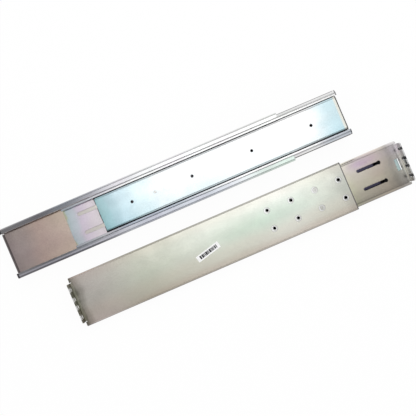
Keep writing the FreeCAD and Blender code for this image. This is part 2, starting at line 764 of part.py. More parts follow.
def clamp_nuts(rail):
    """Two hexagon nuts on the clamp screws."""
    body = new_body(f"clamp_nuts_{rail}", rail, clamp_shift(rail))
    hexagon = sketch_on(body, "XY_Plane", "nut_outline", NUT_SEAT)
    corner_reach = f"Sizes.nut_half_width / cos({NUT_TURN // 2} deg)"
    corners = []
    for step in range(NUT_SIDES):
        turn = f"{NUT_TURN // 2 + NUT_TURN * step} deg"
        across = f"{corner_reach} * cos({turn})"
        up = f"Sizes.clamp_row_offset + {corner_reach} * sin({turn})"
        corners.append((across, up))
    outline(hexagon, corners)
    circle(hexagon, "0", "Sizes.clamp_row_offset", "Sizes.screw_radius + Sizes.thread_play")
    nut = pad(body, hexagon, "Sizes.nut_height")
    mirror_across(body, [nut], "second_nut")
    return body


def slot_pegs(rail):
    """Two black pegs snapped into the front ends of the short slots from inside."""
    body = new_body(f"slot_pegs_{rail}", rail, "(0 - Sizes.peg_setback)")
    half = sketch_on(body, "YZ_Plane", "peg_section")
    radius = "(Sizes.peg_hole_radius - Sizes.peg_play)"
    collar_top = f"{FRONT_INSIDE} + Sizes.peg_collar_height"
    turned_section(half, "Sizes.clamp_row_offset", [
        ("0", f"{FRONT_FLOOR} + Sizes.peg_sink"),
        (radius, f"{FRONT_FLOOR} + Sizes.peg_sink"),
        (radius, FRONT_INSIDE),
        (f"{radius} + Sizes.peg_collar", FRONT_INSIDE),
        (f"{radius} + Sizes.peg_collar", collar_top),
        ("0", collar_top),
    ])
    peg = revolve(body, half)
    mirror_across(body, [peg], "second_peg")
    return body


def build_rail(rail):
    """All the pieces of one rail."""
    pieces = [rear_bracket(rail), front_rail(rail), chassis_rail(rail)]
    for edge, side in (("upper", "1"), ("lower", "-1")):
        pieces.append(ball_retainer(rail, edge, side))
        pieces.append(balls(rail, edge, side))
    pieces += [latch_pad(rail), latch_leaf(rail), latch_rivet(rail)]
    pieces += [clamp_screws(rail), clamp_washers(rail), clamp_nuts(rail), slot_pegs(rail)]
    return pieces


def check(pieces):
    """Stop if a feature has failed or a piece has no sound solid."""
    for item in document.Objects:
        if "Invalid" in item.State or "Error" in item.State:
            raise ValueError(f"{item.Label} has failed: {item.State}")
    for piece in pieces:
        if piece.Shape.isNull() or not piece.Shape.isValid() or not piece.Shape.Solids:
            raise ValueError(f"{piece.Label} has no sound shape")


def write(pieces):
    """Write each piece to a file of its own."""
    os.makedirs("parts", exist_ok=True)
    for piece in pieces:
        piece.Shape.exportStep(os.path.join("parts", piece.Label + ".step"))
        print(f"{piece.Label}: {len(piece.Shape.Solids)} solids, {piece.Shape.Volume:.0f} mm3")


def main():
    """Build both rails, check them and write them."""
    pieces = build_rail("a") + build_rail("b")
    document.recompute()
    check(pieces)
    write(pieces)


main()
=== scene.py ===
import logging
import math
import random
from dataclasses import dataclass
from enum import Enum

import bmesh
import bpy
from mathutils import Matrix, Vector


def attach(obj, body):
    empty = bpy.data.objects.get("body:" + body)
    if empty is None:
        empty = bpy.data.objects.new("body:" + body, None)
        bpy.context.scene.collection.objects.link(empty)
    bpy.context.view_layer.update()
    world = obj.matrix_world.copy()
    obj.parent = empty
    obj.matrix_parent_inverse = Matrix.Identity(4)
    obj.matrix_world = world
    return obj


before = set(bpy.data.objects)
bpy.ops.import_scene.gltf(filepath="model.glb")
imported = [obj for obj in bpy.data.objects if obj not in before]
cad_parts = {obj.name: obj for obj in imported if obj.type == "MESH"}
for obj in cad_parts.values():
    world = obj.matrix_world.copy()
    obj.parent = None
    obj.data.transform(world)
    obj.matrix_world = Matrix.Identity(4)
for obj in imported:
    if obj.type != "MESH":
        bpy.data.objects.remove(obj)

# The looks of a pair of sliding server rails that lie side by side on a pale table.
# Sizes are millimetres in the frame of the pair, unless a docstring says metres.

log = logging.getLogger("server_rails")

MM = 0.001

WHITE = "#FFFFFF"
# Painted shade where light hardly reaches: behind the holes, in the races, at the ends of parts and
# in the gaps between them
PAINTED_SHADE = "#1C1C22"
# Painted shade: a dark line where the sheet turns down, along edges and in recesses
EDGE_SHADE = "#4F4A52"

# Setting of the nodes that move a value smoothly from one range to another
SMOOTH = {"interpolation_type": "SMOOTHSTEP"}
# Sockets of Blender's mix node, which has a set for each type of data
MIX_FACTOR, MIX_FLOAT_A, MIX_FLOAT_B, MIX_COLOUR_A, MIX_COLOUR_B = 0, 2, 3, 6, 7
MIX_COLOUR_OUT = 2

# Middle of the rail whose rack side lies up, and its two rows of holes, along Y
RAIL_B_MIDDLE = -54.15
RAIL_B_ROWS = (-69.15, -39.15)
# Countersunk holes of a row, along X
SINKS = (80.5, 120.8, 161.1, 201.4)
# Half width and soft rim of the painted shade behind a row
ROW_SHADE_HALF = 5.0
ROW_SHADE_RIM = 3.0
# Holes of a rack flange, from the middle of its rail, and the soft rim of the painted mark at each
RACK_HOLES = (-22.2, -6.4, 6.4, 22.2)
MARK_RIM = 1.5

Socket = bpy.types.NodeSocket
Tree = bpy.types.NodeTree
Outline = list[tuple[float, float]]


def metres(length_mm: float) -> float:
    """Length in metres of a length in millimetres."""
    return length_mm * MM


def linear(colour: str) -> tuple[float, float, float, float]:
    """Linear colour of an sRGB hex value, by the standard curve.

    Args:
        colour: Hex value such as "#C8C2B0".

    Returns:
        Red, green, blue and an alpha of one.
    """
    channels = []
    for start in (1, 3, 5):
        part = int(colour[start:start + 2], 16) / 255
        channels.append(part / 12.92 if part <= 0.04045 else ((part + 0.055) / 1.055) ** 2.4)
    return (channels[0], channels[1], channels[2], 1.0)


def add_node(tree: Tree, kind: str, settings: dict[str, object],
             inputs: dict[str | int, object]) -> bpy.types.Node:
    """Add a node with its settings, its values and its links.

    Args:
        tree: Node tree that gets the node.
        kind: Blender's name for the type of node.
        settings: Attributes of the node.
        inputs: Socket name or number, and either a socket to link from or a value.

    Returns:
        The new node.
    """
    node = tree.nodes.new(kind)
    for name, setting in settings.items():
        setattr(node, name, setting)
    for name, source in inputs.items():
        if isinstance(source, Socket):
            tree.links.new(source, node.inputs[name])
        else:
            node.inputs[name].default_value = source
    return node


class Blend(Enum):
    """How one colour goes over another."""

    MIX = "MIX"
    MULTIPLY = "MULTIPLY"


class Axis(Enum):
    """Axes of the pair."""

    X = "X"
    Y = "Y"
    Z = "Z"


@dataclass(frozen=True)
class Stop:
    """Colour at a place along one axis of the pair."""

    place: float
    colour: str


@dataclass(frozen=True)
class Fade:
    """Soft border of a tinted zone, from where it is clear to where it is full."""

    axis: Axis
    clear_at: float
    full_at: float


@dataclass(frozen=True)
class TintZone:
    """Zone of one tint, such as a bloom of the passive film, painted shade or a painted highlight.
    """

    colour: str
    fades: tuple[Fade, ...]
    share: float = 1.0
    blend: Blend = Blend.MULTIPLY
    # Whether its borders drift with the film's colours
    wanders: bool = True


def fixed_tint(colour: str, share: float, *fades: Fade) -> TintZone:
    """Tint that covers the metal and keeps to its place, such as painted shade or a painted glint.
    """
    return TintZone(colour, fades, share, Blend.MIX, False)


def band(axis: Axis, low: float, high: float, soft: float) -> tuple[Fade, ...]:
    """Borders of a band across one axis, by the ends of its full part and its soft rim."""
    return (Fade(axis, low - soft, low), Fade(axis, high + soft, high))


def oval(x: float, y: float, half_x: float, half_y: float) -> tuple[Fade, ...]:
    """Borders of a soft patch seen from above, by its middle and its half sizes."""
    return (*band(Axis.X, x, x, half_x), *band(Axis.Y, y, y, half_y))


@dataclass(frozen=True)
class Pattern:
    """Cloudy noise whose lumps have a real size along X, Y and Z."""

    size: tuple[float, float, float]
    # How many finer layers it has
    detail: float
    # Shift that makes it differ from others of its size
    seed: float
    # Part of its values that counts
    low: float = 0.3
    high: float = 0.7


@dataclass(frozen=True)
class Relief:
    """Real height of a pattern's bumps, and the share of their tilt that is kept."""

    depth: float
    strength: float


@dataclass(frozen=True)
class Coat:
    """Colour, plain or from a socket, that goes over what is below, and how much of it shows."""

    colour: object
    share: object
    blend: Blend = Blend.MIX


# The crystals of the zinc are about a millimetre across
CRYSTALS = Pattern((1.4, 1.4, 1.4), 3.0, 3.3)
CRYSTAL_RELIEF = Relief(0.02, 0.3)
# Rolling lines are a few hundredths of a millimetre apart, and are drawn far coarser to show
ROLLING_LINES = Pattern((40.0, 0.9, 0.9), 2.0, 2.2)
LINE_RELIEF = Relief(0.01, 0.2)
# Long and fine, from sliding into the rack
SCRATCHES = Pattern((22.0, 0.5, 0.5), 1.0, 7.9, 0.71, 0.76)
SCRATCH_RELIEF = Relief(-0.01, 0.3)
# Spots along an edge that get a painted highlight
EDGE_HIGHLIGHT_SPOTS = Pattern((7.0, 7.0, 7.0), 2.0, 6.6, 0.52, 0.62)
# Smears that change how sharply the metal mirrors
SMEARS = Pattern((30.0, 22.0, 22.0), 3.0, 4.4)
# Drift in the tone of a small piece
TONES = Pattern((9.0, 9.0, 9.0), 2.0, 6.1, 0.35)
# Mean value of every pattern
NOISE_MIDDLE = 0.5


class Surface:
    """Node tree of one material, with the patterns that several finishes share."""

    noise_roughness: float = 0.55
    bevel_samples: int = 4
    # Cosine between the rounded and the flat normal, where an edge is full and where it ends
    edge_full: float = 0.86
    edge_ends: float = 0.99

    def __init__(self, name: str) -> None:
        """Start a material with an empty tree.

        Args:
            name: What the material is and how it was made.
        """
        self.material = bpy.data.materials.new(name)
        self.material.use_nodes = True
        self.tree = self.material.node_tree
        self.tree.nodes.clear()
        self.place = add_node(self.tree, "ShaderNodeTexCoord", {}, {}).outputs["Object"]
        split = add_node(self.tree, "ShaderNodeSeparateXYZ", {}, {0: self.place})
        self.axes = {axis: split.outputs[axis.value] for axis in Axis}

    def lumps(self, pattern: Pattern) -> Socket:
        """Raw values of a cloudy pattern.

        Args:
            pattern: The pattern.

        Returns:
            Value from zero to one, mostly near a half.
        """
        scale = tuple(1 / metres(lump) for lump in pattern.size)
        seed = pattern.seed
        moved = add_node(self.tree, "ShaderNodeMapping", {}, {
            "Vector": self.place, "Location": (seed, seed * 2, seed * 3), "Scale": scale})
        noise = add_node(self.tree, "ShaderNodeTexNoise", {"noise_dimensions": "3D"}, {
            "Vector": moved.outputs[0], "Scale": 1.0, "Detail": pattern.detail,
            "Roughness": self.noise_roughness})
        return noise.outputs[0]

    def clouds(self, pattern: Pattern, to_low: float, to_high: float) -> tuple[Socket, Socket]:
        """Cloudy pattern with the part of it that counts stretched over a range.

        Args:
            pattern: The pattern.
            to_low: Start of the range.
            to_high: End of the range.

        Returns:
            The pattern's raw values, and the stretched ones.
        """
        raw = self.lumps(pattern)
        stretched = add_node(self.tree, "ShaderNodeMapRange", SMOOTH, {
            "Value": raw, "From Min": pattern.low, "From Max": pattern.high,
            "To Min": to_low, "To Max": to_high})
        return raw, stretched.outputs[0]

    def zone(self, share: float, *borders: tuple[Socket, float, float]) -> object:
        """How much a tint shows in a zone with soft borders.

        Args:
            share: How much it shows where the zone is full.
            borders: For each a place in metres, and in millimetres where the zone is clear and
                where it is full.

        Returns:
            The share, which is zero outside the zone.
        """
        shown = share
        for place, clear_at, full_at in borders:
            shown = add_node(self.tree, "ShaderNodeMapRange", SMOOTH, {
                "Value": place, "From Min": metres(clear_at), "From Max": metres(full_at),
                "To Min": 0.0, "To Max": shown}).outputs[0]
        return shown

    def nearest(self, middles: tuple[tuple[float, float], ...]) -> Socket:
        """Distance to the nearest of several upright axes.

        Args:
            middles: Where the axes stand along X and Y.

        Returns:
            The distance in metres.
        """
        seen = add_node(self.tree, "ShaderNodeCombineXYZ", {}, {
            0: self.axes[Axis.X], 1: self.axes[Axis.Y], 2: 0.0}).outputs[0]
        distances = [add_node(self.tree, "ShaderNodeVectorMath", {"operation": "DISTANCE"}, {
            0: seen, 1: (metres(x), metres(y), 0.0)}).outputs["Value"] for x, y in middles]
        least = distances[0]
        for distance in distances[1:]:
            least = add_node(self.tree, "ShaderNodeMath", {"operation": "MINIMUM"}, {
                0: least, 1: distance}).outputs[0]
        return least

    def ramp(self, coordinate: Socket, stops: tuple[Stop, ...]) -> Socket:
        """Colours laid along an axis.

        Args:
            coordinate: Place along the axis, in metres.
            stops: Colours and their places, in rising order.

        Returns:
            The colour.
        """
        first, last = stops[0].place, stops[-1].place
        share = add_node(self.tree, "ShaderNodeMapRange", {}, {
            "Value": coordinate, "From Min": metres(first), "From Max": metres(last)})
        node = add_node(self.tree, "ShaderNodeValToRGB", {}, {0: share.outputs[0]})
        node.color_ramp.interpolation = "EASE"
        elements = node.color_ramp.elements
        while len(elements) < len(stops):
            elements.new(1.0)
        for element, stop in zip(elements, stops):
            element.position = (stop.place - first) / (last - first)
            element.color = linear(stop.colour)
        return node.outputs[0]

    def painted(self, base: object, coats: list[Coat]) -> Socket:
        """Colour with several coats laid over it.

        Args:
            base: Colour below, as a socket or a linear colour.
            coats: The coats from the lowest to the uppermost, at least one.

        Returns:
            The colour that shows.
        """
        colour = base
        for coat in coats:
            settings = {"data_type": "RGBA", "blend_type": coat.blend.value}
            colour = add_node(self.tree, "ShaderNodeMix", settings, {
                MIX_FACTOR: coat.share, MIX_COLOUR_A: colour,
                MIX_COLOUR_B: coat.colour}).outputs[MIX_COLOUR_OUT]
        return colour

    def edges(self, radius: float, share: float) -> tuple[Socket, Socket]:
        """Edges rounded over by the punch.

        Args:
            radius: Radius of the rounded edge.
            share: How much of the painted edge colour shows.

        Returns:
            The rounded normal, and the share at an edge, which is zero away from it.
        """
        rounded = add_node(self.tree, "ShaderNodeBevel", {"samples": self.bevel_samples}, {
            "Radius": metres(radius)}).outputs[0]
        flat = add_node(self.tree, "ShaderNodeNewGeometry", {}, {}).outputs["Normal"]
        same = add_node(self.tree, "ShaderNodeVectorMath", {"operation": "DOT_PRODUCT"}, {
            0: rounded, 1: flat})
        edge = add_node(self.tree, "ShaderNodeMapRange", SMOOTH, {
            "Value": same.outputs["Value"], "From Min": self.edge_full,
            "From Max": self.edge_ends, "To Min": share, "To Max": 0.0})
        return rounded, edge.outputs[0]

    def tilted(self, *heights: tuple[Socket, Relief], normal: Socket | None = None) -> Socket:
        """Normal tilted by height patterns that lie one on top of the other.

        Args:
            heights: Height from zero to one, and its relief, for each pattern.
            normal: Normal that they tilt, or none for the face's own.

        Returns:
            The tilted normal.
        """
        for height, relief in heights:
            under = {} if normal is None else {"Normal": normal}
            normal = add_node(self.tree, "ShaderNodeBump", {}, {
                "Height": height, "Distance": metres(relief.depth),
                "Strength": relief.strength, **under}).outputs[0]
        return normal

    def finish(self, inputs: dict[str, object]) -> bpy.types.Material:
        """Close the tree with the main shader.

        Args:
            inputs: Values and links of the main shader's sockets.

        Returns:
            The finished material.
        """
        shader = add_node(self.tree, "ShaderNodeBsdfPrincipled", {}, inputs)
        add_node(self.tree, "ShaderNodeOutputMaterial", {}, {"Surface": shader.outputs[0]})
        return self.material


@dataclass(frozen=True)
class PassivatedZinc:
    """Sheet steel, rolled, punched and bent, then zinc plated and passivated.

    The passive film is thin enough to show interference colours. They drift in broad bands
    from pink and lavender to green and cream, and the plating keeps a fine crystal grain.
    The colours along a rail also carry part of the painted fall of light, lighter where the
    soft box is mirrored and darker towards the ends.
    """

    name: str
    # Colours along X, with part of the painted fall of light in them, and across the rail along Y
    along: tuple[Stop, ...]
    across: tuple[Stop, ...]
    tint_zones: tuple[TintZone, ...] = ()
    # Rolled lips along the open side in their own tones, with painted shade in some, and where they
    # start
    lips: tuple[Stop, ...] = ()
    lips_clear: float = 33.0
    lips_full: float = 34.0
    # Blooms of two tints: how much they show, the size of the clouds, and each tint's own share
    # of that size and its seed
    pink: str = "#E9DCE4"
    green: str = "#DEE8DC"
    cloud_share: float = 0.24
    cloud_size: float = 55.0
    pink_size: float = 0.8
    green_size: float = 1.2
    pink_seed: float = 5.1
    green_seed: float = 9.3
    bloom_width: float = 0.7
    # Drift of all bands along X as a share of the clouds' size, and along Y as a share of that
    drift_width: float = 0.6
    wander_along: float = 0.4
    wander_across: float = 0.35
    roughness: float = 0.15
    smear_change: float = 0.02
    crystal_change: float = 0.04
    darkest_crystal: float = 0.94
    lightest_crystal: float = 1.04
    edge_radius: float = 0.9
    # Painted shade along the sheared edges, broken by spots of painted highlight
    painted_edge_shade: str = "#4E4C50"
    painted_edge_highlight: str = "#EDEDEC"
    edge_highlight_share: float = 0.8
    rim_share: float = 0.75
    # Countersunk holes, each with a painted highlight ring and a fine outline of painted shade
    holes: tuple[tuple[float, float], ...] = ()
    ring: float = 4.6
    ring_rim: float = 0.6
    ring_share: float = 0.85
    outline_inner: float = 5.0
    outline_outer: float = 5.2
    outline_rim: float = 0.6
    outline_share: float = 0.3

    def make(self) -> bpy.types.Material:
        """Build the material.

        Returns:
            The material.
        """
        s = Surface(self.name)
        rounded, edge = s.edges(self.edge_radius, self.rim_share)
        crystals, shade = s.clouds(CRYSTALS, self.darkest_crystal, self.lightest_crystal)
        # Painted shade along the edges, with spots of painted highlight
        edge_highlight = Coat(linear(self.painted_edge_highlight), s.clouds(EDGE_HIGHLIGHT_SPOTS, 0.0, self.edge_highlight_share)[1])
        rim = Coat(s.painted(linear(self.painted_edge_shade), [edge_highlight]), edge)
        smears = s.clouds(SMEARS, self.roughness - self.smear_change,
                          self.roughness + self.smear_change)[1]
        rough = add_node(s.tree, "ShaderNodeMath", {"operation": "MULTIPLY_ADD"}, {
            0: crystals, 1: self.crystal_change, 2: smears})
        scratches = s.clouds(SCRATCHES, 0.0, 1.0)[1]
        normal = s.tilted((s.lumps(ROLLING_LINES), LINE_RELIEF), (crystals, CRYSTAL_RELIEF),
                          (scratches, SCRATCH_RELIEF), normal=rounded)
        return s.finish({"Base Color": s.painted(self.film(s, shade), [rim]), "Metallic": 1.0,
                         "Roughness": rough.outputs[0], "Normal": normal})

    def film(self, s: Surface, shade: Socket) -> Socket:
        """Colour of the passive film, with its drifting bands, tinted zones with painted shade and
        highlights, and fine grain.

        Args:
            s: Surface that is being built.
            shade: Brightness of the zinc's crystals.

        Returns:
            The colour.
        """
        size = self.cloud_size
        drift = s.lumps(Pattern((size, size * self.drift_width, size), detail=3.0, seed=1.7))
        reach = metres(size * self.wander_along)
        wander = add_node(s.tree, "ShaderNodeMath", {"operation": "MULTIPLY_ADD"}, {
            0: drift, 1: reach, 2: -reach * NOISE_MIDDLE}).outputs[0]
        axes = dict(s.axes)
        for axis, part in ((Axis.X, 1.0), (Axis.Y, self.wander_across)):
            axes[axis] = add_node(s.tree, "ShaderNodeMath", {"operation": "MULTIPLY_ADD"}, {
                0: wander, 1: part, 2: s.axes[axis]}).outputs[0]
        coats = [Coat(s.ramp(axes[Axis.Y], self.across), 1.0, Blend.MULTIPLY)]
        if self.lips:
            lifted = s.zone(1.0, (s.axes[Axis.Z], self.lips_clear, self.lips_full))
            coats.append(Coat(s.ramp(axes[Axis.X], self.lips), lifted))
        for tint, part, seed in ((self.pink, self.pink_size, self.pink_seed),
                                 (self.green, self.green_size, self.green_seed)):
            wide = size * part
            bloom = Pattern((wide, wide * self.bloom_width, wide), detail=2.5, seed=seed,
                            low=0.42, high=0.68)
            coats.append(Coat(linear(tint), s.clouds(bloom, 0.0, self.cloud_share)[1],
                              Blend.MULTIPLY))
        for tint_zone in self.tint_zones:
            places = axes if tint_zone.wanders else s.axes
            borders = [(places[fade.axis], fade.clear_at, fade.full_at) for fade in tint_zone.fades]
            coats.append(Coat(linear(tint_zone.colour), s.zone(tint_zone.share, *borders), tint_zone.blend))
        if self.holes:
            coats += self.painted_hole_rings(s)
        grain = add_node(s.tree, "ShaderNodeCombineColor", {}, {0: shade, 1: shade, 2: shade})
        coats.append(Coat(grain.outputs[0], 1.0, Blend.MULTIPLY))
        return s.painted(s.ramp(axes[Axis.X], self.along), coats)

    def painted_hole_rings(self, s: Surface) -> list[Coat]:
        """Painted highlight ring and fine outline of painted shade at each countersunk hole.

        Args:
            s: Surface that is being built.

        Returns:
            The two coats.
        """
        radius = s.nearest(self.holes)
        inner, outer, rim = self.outline_inner, self.outline_outer, self.outline_rim
        ring = s.zone(self.ring_share, (radius, self.ring + self.ring_rim, self.ring))
        outline = s.zone(self.outline_share, (radius, inner - rim, inner),
                         (radius, outer + rim, outer))
        return [Coat(linear(WHITE), ring), Coat(linear(EDGE_SHADE), outline)]


@dataclass(frozen=True)
class PlainMetal:
    """Small metal pieces of one tone, such as turned, pressed or ground steel."""

    name: str
    colour: str
    shadow: str
    roughness: float
    grain: tuple[float, float, float] = (0.8, 0.8, 0.8)
    relief: Relief = Relief(0.01, 0.4)
    shadow_share: float = 0.8
    # The grain varies the roughness between these shares of it
    smoothest: float = 0.8
    roughest: float = 1.3
    # Painted shade along edges and in a driver's recess, and how far it reaches
    edge_shade_share: float = 0.0
    edge_shade_reach: float = 0.5

    def make(self) -> bpy.types.Material:
        """Build the material.

        Returns:
            The material.
        """
        s = Surface(self.name)
        grain, rough = s.clouds(Pattern(self.grain, detail=3.0, seed=2.6),
                                self.roughness * self.smoothest, self.roughness * self.roughest)
        coats = [Coat(linear(self.shadow), s.clouds(TONES, 0.0, self.shadow_share)[1])]
        if self.edge_shade_share:
            coats.append(Coat(linear(EDGE_SHADE), s.edges(self.edge_shade_reach, self.edge_shade_share)[1]))
        return s.finish({"Base Color": s.painted(linear(self.colour), coats), "Metallic": 1.0,
                         "Roughness": rough, "Normal": s.tilted((grain, self.relief))})


@dataclass(frozen=True)
class DullSurface:
    """Pieces that are no metal: moulded nylon, coated paper and printing ink."""

    name: str
    colour: str
    second_colour: str
    roughness: float
    ior: float
    grain: float
    relief: Relief
    specular: float = 0.5
    roughness_change: float = 0.06
    # Size of the clouds of the second colour, in grains
    cloud_grains: float = 12.0

    def make(self) -> bpy.types.Material:
        """Build the material.

        Returns:
            The material.
        """
        s = Surface(self.name)
        grain, rough = s.clouds(Pattern((self.grain,) * 3, detail=3.0, seed=1.9),
                                self.roughness - self.roughness_change,
                                self.roughness + self.roughness_change)
        clouds = Pattern((self.grain * self.cloud_grains,) * 3, detail=2.0, seed=8.2, low=0.35)
        second = Coat(linear(self.second_colour), s.clouds(clouds, 0.0, 1.0)[1])
        return s.finish({"Base Color": s.painted(linear(self.colour), [second]),
                         "Metallic": 0.0, "Roughness": rough, "IOR": self.ior,
                         "Specular IOR Level": self.specular,
                         "Normal": s.tilted((grain, self.relief))})


class Rail(Enum):
    """The two rails of the pair, by the side that lies up."""

    SERVER_SIDE_UP = "a"
    RACK_SIDE_UP = "b"


@dataclass
class RailFinishes:
    """Finishes of one rail's pieces, each put in the slots of its CAD nodes."""

    rail: Rail
    sleeve: PassivatedZinc
    front: PassivatedZinc
    chassis: PassivatedZinc

    # Ground and polished, so they mirror the race round them
    ball: PlainMetal = PlainMetal("bearing_steel_polished", "#C9CBD0", "#B5B8BE", 0.1)
    # Cold-rolled and blued a little by tempering
    spring: PlainMetal = PlainMetal("spring_steel_tempered", "#A7A8A6", "#8F8C84", 0.28,
                                    (20.0, 0.8, 0.8))
    # Pressed steel with a thin clear zinc, bright where it is rubbed, with painted shade along its
    # edges
    hardware: PlainMetal = PlainMetal("screw_zinc_barrel_plated", "#F0F0EC", "#D4D4CC", 0.2,
                                      edge_shade_share=0.7)
    # Moulded black and covered with dry dust, so it hardly shines
    nylon: DullSurface = DullSurface("nylon_black_moulded", "#040405", "#0A0A0B", 0.7, 1.53, 0.5,
                                     Relief(0.01, 0.4), 0.12)

    def dress(self) -> None:
        """Make the materials and put them on the rail's nodes."""
        chosen = {
            "rear_bracket": self.sleeve,
            "front_rail": self.front,
            "chassis_rail": self.chassis,
            "ball_retainer_upper": self.chassis,
            "ball_retainer_lower": self.chassis,
            "latch_rivet": self.hardware,
            "balls_upper": self.ball,
            "balls_lower": self.ball,
            "latch_pad": self.spring,
            "latch_leaf": self.spring,
            "clamp_screws": self.hardware,
            "clamp_washers": self.hardware,
            "clamp_nuts": self.hardware,
            "slot_pegs": self.nylon,
        }
        for piece, finish in chosen.items():
            name = f"{piece}_{self.rail.value}"
            material = bpy.data.materials.get(finish.name) or finish.make()
            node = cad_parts[name]
            node.data.materials.clear()
            node.data.materials.append(material)
            log.info("%s is dressed in %s", name, finish.name)


@dataclass
class CodeLabel:
    """Plain white sticker with plain bars, stuck a little crooked on the lower rail's sleeve."""

    length: float = 41.0
    width: float = 10.0
    thickness: float = 0.12
    corner: float = 0.7
    corner_steps: int = 5
    centre_x: float = -27.6
    centre_y: float = -62.0
    turn_degrees: float = 14.0
    bars_length: float = 31.0
    bars_height: float = 5.6
    narrow_bar: float = 0.45
    # Widths of the bars and of the gaps, in narrow bars
    bar_widths: tuple[int, ...] = (2, 3, 5, 6)
    gap_widths: tuple[int, ...] = (1, 1, 1, 2)
    ink: float = 0.02
    seed: int = 11
    # The sleeve is flat from here to its front end
    flat_from_x: float = 100.0
    # Coated, so it is smooth with a soft sheen
    white: DullSurface = DullSurface("coated_paper_white", WHITE, "#F8F8F8", 0.42, 1.5, 0.4,
                                     Relief(0.004, 0.4))
    # Printed by heat, so it lies flat and dull
    black: DullSurface = DullSurface("thermal_ink_black", "#1E1F22", "#2B2C30", 0.5, 1.5, 0.5,
                                     Relief(0.002, 0.4))

    def build(self) -> None:
        """Make the paper and the bars, and stick them on."""
        seat = self.seat_height(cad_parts["rear_bracket_b"])
        paper = self.slab("code_label_paper", [self.paper_outline()], 0.0, self.thickness)
        bars = self.slab("code_label_bars", self.bar_outlines(), self.thickness, self.ink)
        lie = Matrix.Translation(Vector((metres(self.centre_x), metres(self.centre_y), seat)))
        lie = lie @ Matrix.Rotation(math.radians(self.turn_degrees), 4, "Z")
        for piece, finish in ((paper, self.white), (bars, self.black)):
            piece.data.transform(lie)
            piece.data.materials.append(finish.make())
            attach(piece, "sleeve_b")
            log.info("%s is stuck on the sleeve", piece.name)

    def seat_height(self, sleeve: bpy.types.Object) -> float:
        """Height of the sleeve's flat face under the label, in metres."""
        return max(v.co.z for v in sleeve.data.vertices if v.co.x > metres(self.flat_from_x))

    def paper_outline(self) -> Outline:
        """Rounded rectangle of the paper.

        Returns:
            Its points about the label's centre.
        """
        points = []
        half_x, half_y = self.length / 2 - self.corner, self.width / 2 - self.corner
        for quarter, (sx, sy) in enumerate(((1, 1), (-1, 1), (-1, -1), (1, -1))):
            for step in range(self.corner_steps + 1):
                angle = math.radians(90) * (quarter + step / self.corner_steps)
                points.append((sx * half_x + self.corner * math.cos(angle),
                               sy * half_y + self.corner * math.sin(angle)))
        return points

    def bar_outlines(self) -> list[Outline]:
        """Bars of four widths with uneven gaps, which spell nothing.

        Returns:
            The corners of each bar about the label's centre.
        """
        chance = random.Random(self.seed)
        outlines = []
        place = -self.bars_length / 2
        low, high = -self.bars_height / 2, self.bars_height / 2
        while place < self.bars_length / 2:
            end = place + self.narrow_bar * chance.choice(self.bar_widths)
            outlines.append([(place, low), (end, low), (end, high), (place, high)])
            place = end + self.narrow_bar * chance.choice(self.gap_widths)
        return outlines

    def slab(self, name: str, outlines: list[Outline], base: float,
             thickness: float) -> bpy.types.Object:
        """Thin flat piece with the given outlines.

        Args:
            name: Name of the new piece.
            outlines: Closed outlines, each a list of points.
            base: Height of the underside.
            thickness: How thick it is.

        Returns:
            The piece, about its own centre.
        """
        mesh = bmesh.new()
        for outline in outlines:
            ring = [mesh.verts.new((metres(x), metres(y), metres(base))) for x, y in outline]
            face = mesh.faces.new(ring)
            grown = bmesh.ops.extrude_face_region(mesh, geom=[face])
            tops = [item for item in grown["geom"] if isinstance(item, bmesh.types.BMVert)]
            bmesh.ops.translate(mesh, verts=tops, vec=(0, 0, metres(thickness)))
        bmesh.ops.recalc_face_normals(mesh, faces=mesh.faces)
        data = bpy.data.meshes.new(name)
        mesh.to_mesh(data)
        mesh.free()
        piece = bpy.data.objects.new(name, data)
        bpy.context.scene.collection.objects.link(piece)
        return piece


